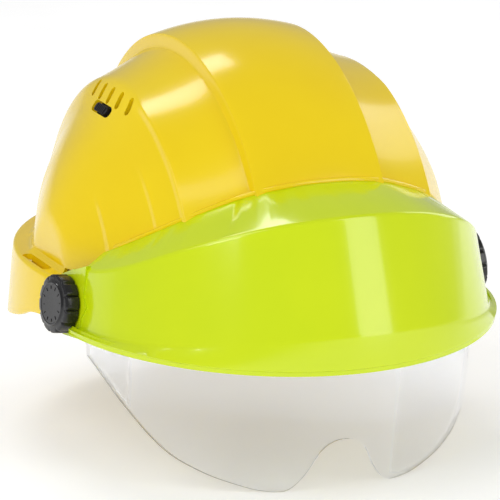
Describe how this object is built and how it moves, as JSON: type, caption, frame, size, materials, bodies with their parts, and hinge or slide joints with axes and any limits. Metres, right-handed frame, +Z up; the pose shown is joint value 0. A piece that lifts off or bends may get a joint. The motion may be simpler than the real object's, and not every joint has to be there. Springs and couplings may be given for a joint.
{
  "type": "hard hat",
  "caption": "Ventilated industrial hard hat with stepped shell, brow cover, clear flip-down eye visor on side knobs and a ratchet harness.",
  "frame": {"origin": "centre of the head opening, level with the headband ring", "axes": "+Z up as worn, -Y the way the face looks, +X the wearer's left"},
  "size_m": [0.239, 0.293, 0.208],
  "materials": {
    "shell_yellow": "gloss",
    "cover_lime": "gloss",
    "lens_clear": "polished clear polycarbonate",
    "knob_black": "satin gloss",
    "screw_steel": "zinc plated",
    "hub_nylon": "satin",
    "washer_rubber": "matt",
    "nut_brass": "plain",
    "vent_black": "satin",
    "harness_plastic": "satin",
    "webbing": "woven polyester",
    "sweatband_fabric": "brushed fabric on foam",
    "pad_fabric": "fabric on foam",
    "spring_steel": "spring steel"
  },
  "bodies": {
    "helmet": {"shell": "shell_yellow", "visor_cover": "cover_lime", "pivot_hub_right": "hub_nylon", "pivot_hub_left": "hub_nylon", "friction_washers": "washer_rubber", "pivot_nuts": "nut_brass", "headband": "harness_plastic", "sweatband": "sweatband_fabric", "crown_strap_lower": "webbing", "crown_strap_upper": "webbing", "strap_clips": "harness_plastic", "ratchet_housing": "harness_plastic", "ratchet_cover": "harness_plastic", "ratchet_spring": "spring_steel", "nape_pad": "pad_fabric", "band_arm_right": "harness_plastic", "band_arm_left": "harness_plastic"},
    "visor": {"visor_lens": "lens_clear"},
    "right_knob": {"knob_right": "knob_black", "knob_screw_right": "screw_steel"},
    "left_knob": {"knob_left": "knob_black", "knob_screw_left": "screw_steel"},
    "right_vent": {"vent_shutter_right": "vent_black", "vent_button_right": "vent_black"},
    "left_vent": {"vent_shutter_left": "vent_black", "vent_button_left": "vent_black"},
    "wheel": {"ratchet_wheel": "harness_plastic", "ratchet_pinion": "hub_nylon"},
    "right_tail": {"rack_right": "harness_plastic"},
    "left_tail": {"rack_left": "harness_plastic"}
  },
  "joints": [
    {"name": "visor_tilt", "type": "hinge", "parent": "helmet", "child": "visor", "pos_m": [0, -0.0365, -0.002], "axis": [-1, 0, 0], "range_deg": [0, 25]},
    {"name": "right_knob_turn", "type": "hinge", "parent": "helmet", "child": "right_knob", "pos_m": [-0.1175, -0.03826, -0.00009], "axis": [-0.984, -0.1208, 0.1313], "range_deg": [0, 180]},
    {"name": "left_knob_turn", "type": "hinge", "parent": "helmet", "child": "left_knob", "pos_m": [0.1175, -0.03826, -0.00009], "axis": [0.984, -0.1208, 0.1313], "range_deg": [0, 180]},
    {"name": "right_vent_slide", "type": "hinge", "parent": "helmet", "child": "right_vent", "pos_m": [0, 0, 0], "axis": [1, 0, 0], "range_deg": [0, 3.74]},
    {"name": "left_vent_slide", "type": "hinge", "parent": "helmet", "child": "left_vent", "pos_m": [0, 0, 0], "axis": [1, 0, 0], "range_deg": [0, 3.74]},
    {"name": "wheel_turn", "type": "hinge", "parent": "helmet", "child": "wheel", "pos_m": [0, 0.1, -0.016], "axis": [0, 1, 0], "range_deg": [-90, 90]},
    {"name": "right_tail_slide", "type": "slide", "parent": "helmet", "child": "right_tail", "axis": [1, 0, 0], "range_m": [-0.01006, 0.01006], "deforming": ["band_arm_right"]},
    {"name": "left_tail_slide", "type": "slide", "parent": "helmet", "child": "left_tail", "axis": [-1, 0, 0], "range_m": [-0.01006, 0.01006], "deforming": ["band_arm_left"]}
  ],
  "couplings": [
    {"joint": "right_tail_slide", "follows": "wheel_turn", "m_per_rad": 0.0064},
    {"joint": "left_tail_slide", "follows": "wheel_turn", "m_per_rad": 0.0064}
  ]
}
